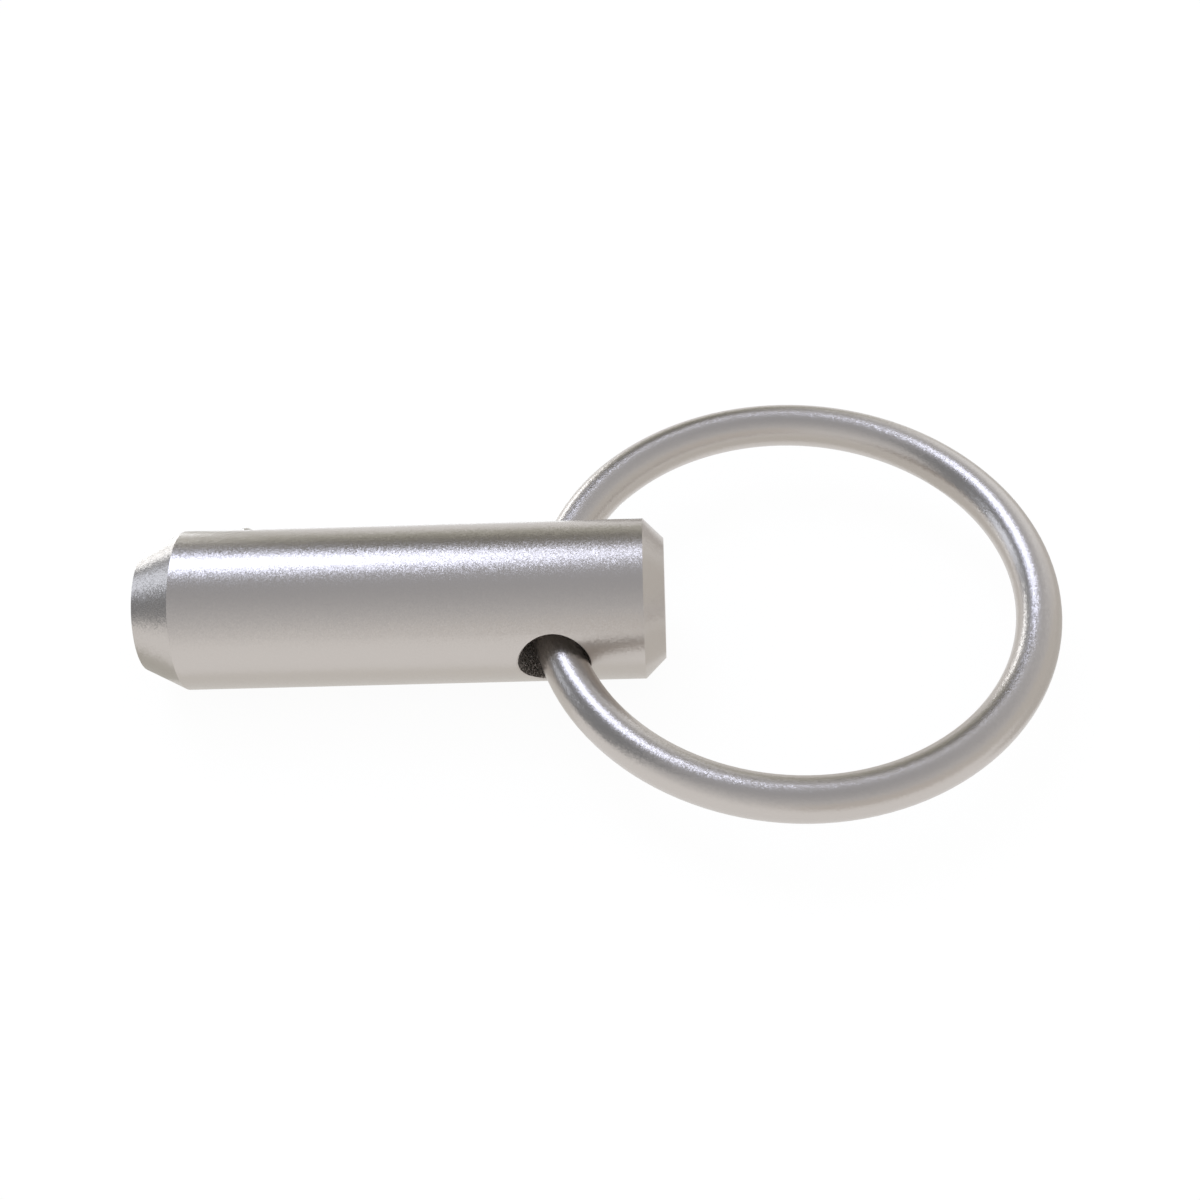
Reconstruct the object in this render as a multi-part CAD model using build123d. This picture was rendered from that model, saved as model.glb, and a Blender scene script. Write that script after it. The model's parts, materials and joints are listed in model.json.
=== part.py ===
"""Quick lock pin with a sprung detent ball and a pull ring.

A turned stainless shank has a lead-in taper at its tip, a chamfered head end and a cross hole near the head.
A closed wire ring passes through the cross hole. Near the tip a sprung ball stands out of a blind bore, and
a staked lip keeps it in. Lengths are millimetres and angles are degrees. The shank lies along X with its head
at +X, +Z is up, and the origin is on the shank's axis at the middle of the grip, between ball and cross hole.
"""

from build123d import *
import math
import os

os.makedirs("parts", exist_ok=True)

# Shank: half-inch pin, 1 5/8 inches long
shank_diameter = 12.7
overall_length = 41.4
grip_length = 21.3
tip_taper_length = 3.25
tip_face_diameter = 9.42
head_chamfer = 1.6

# Cross hole for the ring, with its rims just broken
ring_hole_diameter = 5.56
ring_hole_from_head = 8.66
edge_break = 0.12

# Pull ring: it lies a little low in its hole, a little to the far side, and droops slightly
ring_mean_diameter = 38.2
ring_wire_diameter = 3.5
ring_centre_from_hole = 18.85
ring_side_shift = 0.15
ring_sink = 0.2
ring_droop = 0.6

# Detent ball: 5/64 inch, set round the shank from the cross hole's axis towards the top
ball_diameter = 1.984
ball_clock_angle = 22.0
ball_stand_out = 0.52
ball_clearance = 0.03
bore_floor_from_axis = 1.0
drill_point_angle = 118.0

# V-shaped ring that the staking punch presses round the bore to close its lip over the ball
stake_radius = 1.35
stake_depth = 0.25

# Compression spring of square wire under the ball, with one closed coil at each end.
# Its wire's diameter is measured across the corners.
spring_wire_diameter = 0.25
spring_wire_sides = 4
spring_mean_diameter = 1.4
spring_active_coils = 4
closed_pitch = 0.26
spring_gap = 0.01

# Places that follow from the sizes above
shank_radius = shank_diameter / 2
ball_radius = ball_diameter / 2
bore_radius = ball_radius + ball_clearance
ring_hole_x = (grip_length + ring_hole_diameter) / 2
head_end_x = ring_hole_x + ring_hole_from_head
tip_end_x = head_end_x - overall_length
ball_x = -(grip_length + ball_diameter) / 2
ball_centre_height = shank_radius + ball_stand_out - ball_radius

# Frame of the ball's bore: its local Z leaves the shank's axis and points out through the ball
bore_direction = Vector(0, 1, 0).rotate(Axis.X, ball_clock_angle)
bore_frame = Plane(origin=(ball_x, 0, 0), x_dir=(1, 0, 0), z_dir=bore_direction)


def turned_blank():
    """The shank as it leaves the lathe: lead-in taper at the tip, 45 degree chamfer at the head."""
    with BuildPart() as blank:
        with BuildSketch(Plane.XY):
            with BuildLine():
                Polyline(
                    (tip_end_x, 0),
                    (tip_end_x, tip_face_diameter / 2),
                    (tip_end_x + tip_taper_length, shank_radius),
                    (head_end_x - head_chamfer, shank_radius),
                    (head_end_x, shank_radius - head_chamfer),
                    (head_end_x, 0),
                    close=True,
                )
            make_face()
        revolve(axis=Axis.X)
    return blank.part


def with_ring_hole(blank):
    """The blank cross-drilled for the ring, with both rims of the hole broken."""
    drill = Pos(ring_hole_x, 0, 0) * Cylinder(ring_hole_diameter / 2, 2 * shank_diameter, rotation=(90, 0, 0))
    drilled = blank - drill
    rims = new_edges(blank, drill, combined=drilled)
    return chamfer(rims, edge_break)


def ball_bore():
    """Blind bore with a drill point, closed in by a spherical seat that fits the ball at rest."""
    upwards = (Align.CENTER, Align.CENTER, Align.MIN)
    downwards = (Align.CENTER, Align.CENTER, Align.MAX)
    point_depth = bore_radius / math.tan(math.radians(drill_point_angle / 2))
    floor = Pos(0, 0, bore_floor_from_axis)
    point = floor * Cone(0, bore_radius, point_depth, align=downwards)
    straight = floor * Cylinder(bore_radius, ball_centre_height - bore_floor_from_axis, align=upwards)
    seat = Pos(0, 0, ball_centre_height) * Sphere(bore_radius)
    return bore_frame * (point + straight + seat)


def stake_mark():
    """V-groove of the staking punch, a full ring round the ball that is as wide as it is deep."""
    bottom = shank_radius - stake_depth
    top = shank_radius + stake_depth
    with BuildPart() as punch:
        with BuildSketch(Plane.XZ):
            with BuildLine():
                Polyline(
                    (stake_radius, bottom),
                    (stake_radius + stake_depth, top),
                    (stake_radius - stake_depth, top),
                    close=True,
                )
            make_face()
        revolve(axis=Axis.Z)
    return bore_frame * punch.part


def pin_body():
    """The finished shank, one piece of bar."""
    return with_ring_hole(turned_blank()) - ball_bore() - stake_mark()


def detent_ball():
    """Hardened ball, held out against the lip of its bore by the spring."""
    return bore_frame * Pos(0, 0, ball_centre_height) * Sphere(ball_radius)


def detent_spring():
    """Compression spring from the drill point of the bore to the underside of the ball."""
    coil_radius = spring_mean_diameter / 2
    wire_radius = spring_wire_diameter / 2
    stand_off = wire_radius + spring_gap
    half_point = math.radians(drill_point_angle / 2)
    rise_on_point = stand_off / math.sin(half_point) - (bore_radius - coil_radius) / math.tan(half_point)
    drop_under_ball = math.sqrt((ball_radius + stand_off) ** 2 - coil_radius**2)
    bottom = bore_floor_from_axis + rise_on_point
    top = ball_centre_height - drop_under_ball
    active_length = top - bottom - 2 * closed_pitch
    closed_coil = Helix(closed_pitch, closed_pitch, coil_radius)
    active_coils = Helix(active_length / spring_active_coils, active_length, coil_radius)
    turns = [
        Pos(0, 0, bottom) * closed_coil.edge(),
        Pos(0, 0, bottom + closed_pitch) * active_coils.edge(),
        Pos(0, 0, top - closed_pitch) * closed_coil.edge(),
    ]
    path = Wire(turns)
    section = Plane(origin=path @ 0, z_dir=path % 0) * RegularPolygon(wire_radius, spring_wire_sides)
    return bore_frame * sweep(section, path=path, is_frenet=True)


def pull_ring():
    """Closed ring of round wire, threaded through the cross hole and joined without a visible seam."""
    ring = Torus(ring_mean_diameter / 2, ring_wire_diameter / 2)
    in_hole = Pos(ring_centre_from_hole, ring_side_shift, -ring_sink)
    return Pos(ring_hole_x, 0, 0) * Rot(0, ring_droop, 0) * in_hole * ring


for piece in (pin_body, detent_ball, detent_spring, pull_ring):
    export_step(piece(), f"parts/{piece.__name__}.step")
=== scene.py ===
import json
import math
import bpy
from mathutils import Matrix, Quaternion, Vector


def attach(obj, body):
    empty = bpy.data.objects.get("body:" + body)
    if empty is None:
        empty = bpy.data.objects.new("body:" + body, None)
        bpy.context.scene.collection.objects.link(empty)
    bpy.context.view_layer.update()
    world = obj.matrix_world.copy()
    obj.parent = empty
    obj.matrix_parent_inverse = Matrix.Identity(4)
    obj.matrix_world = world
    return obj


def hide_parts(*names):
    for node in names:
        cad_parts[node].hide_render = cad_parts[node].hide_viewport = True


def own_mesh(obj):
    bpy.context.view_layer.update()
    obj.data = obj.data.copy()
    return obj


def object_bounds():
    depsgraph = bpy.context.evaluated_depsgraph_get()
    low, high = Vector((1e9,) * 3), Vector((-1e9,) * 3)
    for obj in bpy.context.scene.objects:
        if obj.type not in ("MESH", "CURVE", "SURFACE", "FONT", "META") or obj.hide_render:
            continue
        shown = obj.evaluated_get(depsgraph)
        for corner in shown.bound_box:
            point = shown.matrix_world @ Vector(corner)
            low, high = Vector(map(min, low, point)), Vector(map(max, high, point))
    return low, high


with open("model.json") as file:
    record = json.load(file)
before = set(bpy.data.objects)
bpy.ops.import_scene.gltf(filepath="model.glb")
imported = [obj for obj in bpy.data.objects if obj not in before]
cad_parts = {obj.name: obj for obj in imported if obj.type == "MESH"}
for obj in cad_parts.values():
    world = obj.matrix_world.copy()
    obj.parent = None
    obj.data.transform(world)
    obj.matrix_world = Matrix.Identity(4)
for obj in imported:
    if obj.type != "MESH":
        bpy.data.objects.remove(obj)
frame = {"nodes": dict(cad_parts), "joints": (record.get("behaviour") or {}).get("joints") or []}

cad_low, cad_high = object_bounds()
MM = 0.001

# ---------------------------------------------------------------------------------------------------------
# Shank: one piece of 1/2 inch stainless bar, turned with a long lead-in taper at the tip and a bevel at
# the head, cross-drilled for the ring and bored for the detent. It was blasted with fine glass beads
# after machining, which took off the tool marks and left an even grey satin.
# ---------------------------------------------------------------------------------------------------------


def linear(hex_colour):
    """An sRGB hex colour as the linear colour that a node takes."""
    values = [int(hex_colour[i:i + 2], 16) / 255 for i in (0, 2, 4)]
    return [v / 12.92 if v <= 0.04045 else ((v + 0.055) / 1.055) ** 2.4 for v in values] + [1.0]


def add(tree, kind, settings=None, inputs=None):
    """Adds one node. An input's value is a plain value or another node's output socket."""
    node = tree.nodes.new(kind)
    for name, value in (settings or {}).items():
        setattr(node, name, value)
    for name, value in (inputs or {}).items():
        if isinstance(value, bpy.types.NodeSocket):
            tree.links.new(value, node.inputs[name])
        else:
            node.inputs[name].default_value = value
    return node


def new_material(name):
    """An empty node material, and its tree."""
    material = bpy.data.materials.new(name)
    material.use_nodes = True
    material.node_tree.nodes.clear()
    return material, material.node_tree


def dress(part, material):
    """Gives a CAD part one material in place of its plain one."""
    part.data.materials.clear()
    part.data.materials.append(material)


def blasted_steel(tree, roughness, tilt):
    """Bead-blasted stainless steel. Every bead leaves a shallow dimple that faces its own way, so the
    metal is a soft even grey that glitters finely wherever a bright reflection begins or ends. A real
    dimple is about 0.04 mm across, too fine to show, so dimples are drawn twice as wide."""
    dimple = 0.085 * MM
    place = add(tree, "ShaderNodeTexCoord").outputs["Object"]
    dimples = add(tree, "ShaderNodeTexVoronoi", {}, {"Vector": place, "Scale": 1 / dimple})
    facing = add(tree, "ShaderNodeVectorMath", {"operation": "SUBTRACT"},
                 {0: dimples.outputs["Color"], 1: (0.5, 0.5, 0.5)})
    lean = add(tree, "ShaderNodeVectorMath", {"operation": "SCALE"}, {0: facing.outputs[0], "Scale": tilt})
    surface = add(tree, "ShaderNodeNewGeometry").outputs["Normal"]
    normal = add(tree, "ShaderNodeVectorMath", {"operation": "ADD"}, {0: surface, 1: lean.outputs[0]})
    steel = add(tree, "ShaderNodeBsdfPrincipled", {}, {
        "Base Color": linear("c4beb9"), "Metallic": 1.0, "Roughness": roughness, "Normal": normal.outputs[0]})
    add(tree, "ShaderNodeOutputMaterial", {}, {"Surface": steel.outputs["BSDF"]})


# The beads hardly reach the wall of the cross hole, which keeps the rough torn finish of the drill.
satin_roughness = 0.29
satin_tilt = 0.11
torn_roughness = 0.42
torn_tilt = 0.90
joints = {joint["name"]: joint for joint in frame["joints"]}
hole_x = joints["ring_swing"]["pos_m"][0]
hole_wall = 2.80 * MM
shank_steel, tree = new_material("Bead_blasted_stainless_steel")
place = add(tree, "ShaderNodeTexCoord").outputs["Object"]
from_hole = add(tree, "ShaderNodeVectorMath", {"operation": "SUBTRACT"}, {0: place, 1: (hole_x, 0, 0)})
across = add(tree, "ShaderNodeVectorMath", {"operation": "MULTIPLY"},
             {0: from_hole.outputs[0], 1: (1, 0, 1)})
reach = add(tree, "ShaderNodeVectorMath", {"operation": "LENGTH"}, {0: across.outputs[0]})
drilled = add(tree, "ShaderNodeMath", {"operation": "LESS_THAN"}, {0: reach.outputs["Value"], 1: hole_wall})
roughness = add(tree, "ShaderNodeMapRange", {}, {
    "Value": drilled.outputs[0], "To Min": satin_roughness, "To Max": torn_roughness})
tilt = add(tree, "ShaderNodeMapRange", {}, {
    "Value": drilled.outputs[0], "To Min": satin_tilt, "To Max": torn_tilt})
blasted_steel(tree, roughness=roughness.outputs[0], tilt=tilt.outputs[0])
dress(frame["nodes"]["pin_body"], shank_steel)

# ---------------------------------------------------------------------------------------------------------
# Detent ball: a through-hardened bearing ball 5/64 inch across, lapped to a bright finish. It stands out
# of the shank by half a millimetre, and the staked lip of its bore keeps it in.
# ---------------------------------------------------------------------------------------------------------
lapped_steel, tree = new_material("Lapped_bearing_steel")
place = add(tree, "ShaderNodeTexCoord").outputs["Object"]
# Lapping leaves the ball bright, with a haze of small wear marks from the holes it has gone into.
wear_mark = 0.15 * MM
wear = add(tree, "ShaderNodeTexNoise", {}, {"Vector": place, "Scale": 1 / wear_mark, "Detail": 2.0})
haze = add(tree, "ShaderNodeMapRange", {}, {"Value": wear.outputs["Fac"], "To Min": 0.12, "To Max": 0.22})
bright = add(tree, "ShaderNodeBsdfPrincipled", {}, {
    "Base Color": linear("d2cecb"), "Metallic": 1.0, "Roughness": haze.outputs[0]})
add(tree, "ShaderNodeOutputMaterial", {}, {"Surface": bright.outputs["BSDF"]})

dress(frame["nodes"]["detent_ball"], lapped_steel)

# ---------------------------------------------------------------------------------------------------------
# Detent spring: a compression spring coiled from 0.25 mm round stainless wire, with a closed turn at each
# end. It sits in the drill point of the bore and pushes the ball out. The real spring shortens as the ball
# goes in; this one is drawn at one length and moves with the shank.
# ---------------------------------------------------------------------------------------------------------
spring_foot = 0.964 * MM
spring_head = 4.995 * MM
coil_radius = 0.70 * MM
wire_radius = 0.125 * MM
closed_pitch = 0.26 * MM
active_turns = 4
turn_steps = 24
wire_sides = 12
active_pitch = (spring_head - spring_foot - 2 * closed_pitch) / active_turns
closed_turn = [closed_pitch] * turn_steps
pitches = closed_turn + [active_pitch] * (active_turns * turn_steps) + closed_turn

bpy.ops.object.select_all(action="DESELECT")
bpy.ops.mesh.primitive_circle_add(vertices=wire_sides, radius=wire_radius, fill_type="NGON",
                                  location=(coil_radius, 0, spring_foot), rotation=(math.pi / 2, 0, 0))
spring = bpy.context.object
spring.name = "coil_spring"
bpy.ops.object.transform_apply(location=True, rotation=True, scale=True)
bpy.ops.object.mode_set(mode="EDIT")
bpy.ops.mesh.select_all(action="SELECT")
for pitch in pitches:
    bpy.ops.mesh.extrude_region_move(TRANSFORM_OT_translate={"value": (0, 0, pitch / turn_steps)})
    bpy.ops.transform.rotate(value=-2 * math.pi / turn_steps, orient_axis="Z", center_override=(0, 0, 0))
bpy.ops.mesh.select_all(action="SELECT")
bpy.ops.mesh.normals_make_consistent(inside=False)
bpy.ops.object.mode_set(mode="OBJECT")
bpy.ops.object.shade_smooth()

# The bore leans up from straight back, at the place of the ball along the shank.
bore_lean = math.radians(22)
bore_foot = Vector((-11.642 * MM, 0, 0))
spring.rotation_mode = "XYZ"
spring.rotation_euler = (bore_lean - math.pi / 2, 0, 0)
spring.location = bore_foot
bpy.ops.object.transform_apply(location=True, rotation=True, scale=True)

drawn_wire, tree = new_material("Drawn_spring_wire")
place = add(tree, "ShaderNodeTexCoord").outputs["Object"]
# Drawing and coiling leave the wire bright with a faint bloom in small patches.
bloom_patch = 0.3 * MM
bloom = add(tree, "ShaderNodeTexNoise", {}, {"Vector": place, "Scale": 1 / bloom_patch, "Detail": 1.0})
dull = add(tree, "ShaderNodeMapRange", {}, {"Value": bloom.outputs["Fac"], "To Min": 0.22, "To Max": 0.36})
wire = add(tree, "ShaderNodeBsdfPrincipled", {}, {
    "Base Color": linear("b9b4ae"), "Metallic": 1.0, "Roughness": dull.outputs[0]})
add(tree, "ShaderNodeOutputMaterial", {}, {"Surface": wire.outputs["BSDF"]})
spring.data.materials.append(drawn_wire)

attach(spring, "pin")
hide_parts("detent_spring")
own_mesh(spring)

# ---------------------------------------------------------------------------------------------------------
# Pull ring: 3.5 mm stainless wire bent to a full circle through the shank's cross hole, its ends welded
# and dressed flush. It went through the same blasting as the shank, so its finish is the same satin.
# ---------------------------------------------------------------------------------------------------------
ring_steel, tree = new_material("Bead_blasted_stainless_wire")
blasted_steel(tree, roughness=satin_roughness, tilt=satin_tilt)
dress(frame["nodes"]["pull_ring"], ring_steel)

# ---------------------------------------------------------------------------------------------------------
# Studio: a white sheet in a white light tent that gets greyer towards its top, four softboxes behind the
# pin, and grey cards that draw the darker bands along the metal, one of them a painted shadow under the pin.
# None of it is part of the pin.
# ---------------------------------------------------------------------------------------------------------
# The camera is 140 mm from the pin, in front of it and above it.
camera_data = bpy.data.cameras.new("camera")
camera_data.lens = 52.72
camera_data.sensor_width = 36.0
camera_data.clip_start = 0.005
camera = bpy.data.objects.new("camera", camera_data)
bpy.context.scene.collection.objects.link(camera)
camera.location = (0.02287, -0.08871, 0.10753)
camera.rotation_euler = [math.radians(a) for a in (39.485, 2.859, 0.359)]
bpy.context.scene.camera = camera
bpy.context.scene.view_settings.view_transform = "Standard"

# Beyond the tent the world is plain white for every ray.
world = bpy.data.worlds.new("white_world")
bpy.context.scene.world = world
world.use_nodes = True
world.node_tree.nodes.clear()
white = add(world.node_tree, "ShaderNodeBackground", {}, {"Color": linear("ffffff"), "Strength": 1.0})
add(world.node_tree, "ShaderNodeOutputWorld", {}, {"Surface": white.outputs[0]})


def away(azimuth, elevation):
    """The direction from the pin to a lamp or card. Azimuth 0 is the front, and it grows to the right."""
    a, e = math.radians(azimuth), math.radians(elevation)
    return Vector((math.sin(a) * math.cos(e), -math.cos(a) * math.cos(e), math.sin(e)))


def softbox(name, way, width, height, roll, radiance, colour):
    """A soft lamp that stands off from the pin and is aimed at it. Its sizes are in metres."""
    distance = 3.0
    lamp_data = bpy.data.lights.new(name, "AREA")
    lamp_data.shape = "RECTANGLE"
    lamp_data.size = width
    lamp_data.size_y = height
    lamp_data.energy = radiance * math.pi * width * height
    lamp_data.color = linear(colour)[:3]
    lamp = bpy.data.objects.new(name, lamp_data)
    bpy.context.scene.collection.objects.link(lamp)
    lamp.location = distance * way
    lamp.rotation_euler = (way.to_track_quat("Z", "Y") @ Quaternion((0, 0, 1), math.radians(roll))).to_euler()


softbox("key", away(-150, 55), width=1.3, height=1.6, roll=25, radiance=3.3, colour="dce5ff")
softbox("low_back", away(-147, 0), width=1.3, height=1.0, roll=-5, radiance=3.6, colour="f6fbff")
softbox("side_strip", away(-110, 10), width=1.2, height=1.8, roll=5, radiance=1.5, colour="e6efff")
softbox("back_fill", away(150, 20), width=1.3, height=1.8, roll=0, radiance=0.3, colour="f0f8ff")


def for_reflections(sheet, name, colour, strength=1.0):
    """Makes a mesh one that only reflections see: it tints the metal and takes no light away."""
    board, tree = new_material(name)
    glow = add(tree, "ShaderNodeEmission", {}, {"Color": colour, "Strength": strength})
    add(tree, "ShaderNodeOutputMaterial", {}, {"Surface": glow.outputs[0]})
    sheet.name = name
    sheet.data.materials.append(board)
    sheet.visible_camera = False
    sheet.visible_diffuse = False
    sheet.visible_shadow = False
    return tree, glow


def card(name, place, facing, width, height, grey, strength=1.0):
    """A flat card with its middle at the place."""
    turn = facing.to_track_quat("Z", "Y").to_euler()
    bpy.ops.object.select_all(action="DESELECT")
    bpy.ops.mesh.primitive_plane_add(size=1, location=place, rotation=turn)
    bpy.context.object.scale = (width, height, 1)
    for_reflections(bpy.context.object, name, linear(grey), strength)


def standing_card(name, way, distance, width, height, grey):
    """A card that stands off from the pin and faces it."""
    card(name, distance * way, -way, width, height, grey)


def lying_card(name, x, y, length, depth, grey, strength=1.0):
    """A card that lies just over the white sheet."""
    lift = 0.05 * MM
    card(name, (x, y, cad_low.z + lift), Vector((0, 0, 1)), length, depth, grey, strength)


# Grey cards stand round the tent, and smaller ones lie on the sheet close to the pin.
standing_card("left_card", away(-110, 15), distance=3.6, width=6.6, height=9.2, grey="8c8f93")
standing_card("right_card", away(90, 10), distance=3.6, width=4.6, height=2.6, grey="e0deda")
standing_card("back_card", away(-173, 20), distance=3.3, width=1.3, height=3.0, grey="6b6758")
standing_card("back_low_card", away(-178, 5), distance=3.2, width=2.1, height=1.4, grey="bcbcb0")
standing_card("front_card", away(30, 5), distance=3.3, width=3.9, height=3.0, grey="dedad6")
# Painted shadow: this pale grey card under the pin stands in for the pin's own contact shadow on the sheet,
# and darkens the bottom of the shank where the metal reflects it.
lying_card("contact_shadow_card", x=0.002, y=-0.003, length=0.043, depth=0.016, grey="eeedea")
lying_card("tip_card", x=cad_low.x - 0.16, y=0.045, length=0.32, depth=0.11, grey="cdccc6")
lying_card("head_card", x=0.034, y=0, length=0.020, depth=0.028, grey="e2e0dc")
lying_card("ring_card", x=0.216, y=0.13, length=0.32, depth=0.30, grey="dad8d4")

# Two bright cards behind the pin burn out its back edge.
lying_card("tip_glow", x=-0.060, y=0.035, length=0.070, depth=0.046, grey="f6fbff", strength=3.5)
lying_card("back_glow", x=0.0, y=0.018, length=0.040, depth=0.008, grey="f6fbff", strength=2.0)

# The tent is white at the height of the pin and gets half as bright towards its top.
tent_radius = 8.0
bpy.ops.object.select_all(action="DESELECT")
bpy.ops.mesh.primitive_uv_sphere_add(segments=48, ring_count=24, radius=tent_radius)
tree, glow = for_reflections(bpy.context.object, "light_tent", linear("ffffff"))
place = add(tree, "ShaderNodeSeparateXYZ", {}, {0: add(tree, "ShaderNodeTexCoord").outputs["Object"]})
rise = add(tree, "ShaderNodeMapRange", {}, {"Value": place.outputs["Z"], "From Max": tent_radius})
cloth = add(tree, "ShaderNodeValToRGB", {}, {"Fac": rise.outputs[0]})
cloth.color_ramp.elements[0].color = linear("ffffff")
cloth.color_ramp.elements[1].color = linear("b7b9be")
tree.links.new(cloth.outputs["Color"], glow.inputs["Color"])

# The sheet is lit from below, so it is white to the camera and to the metal, and keeps a faint shadow.
bpy.ops.object.select_all(action="DESELECT")
bpy.ops.mesh.primitive_plane_add(size=6, location=(0, 0, cad_low.z))
floor = bpy.context.object
floor.name = "floor"
lit_share = 0.94
paper, tree = new_material("White_paper")
rays = add(tree, "ShaderNodeLightPath")
matt = add(tree, "ShaderNodeBsdfDiffuse", {}, {"Color": linear("ffffff")})
glow = add(tree, "ShaderNodeEmission", {}, {"Color": linear("ffffff"), "Strength": 1.0})
lit = add(tree, "ShaderNodeMixShader", {}, {0: lit_share, 1: matt.outputs[0], 2: glow.outputs[0]})
mirrored = add(tree, "ShaderNodeMath", {"operation": "MAXIMUM"},
               {0: rays.outputs["Is Glossy Ray"], 1: rays.outputs["Is Transmission Ray"]})
clear = add(tree, "ShaderNodeMath", {"operation": "MAXIMUM"},
            {0: rays.outputs["Is Camera Ray"], 1: mirrored.outputs[0]})
seen = add(tree, "ShaderNodeMixShader", {}, {0: clear.outputs[0], 1: matt.outputs[0], 2: lit.outputs[0]})
add(tree, "ShaderNodeOutputMaterial", {}, {"Surface": seen.outputs[0]})
floor.data.materials.append(paper)
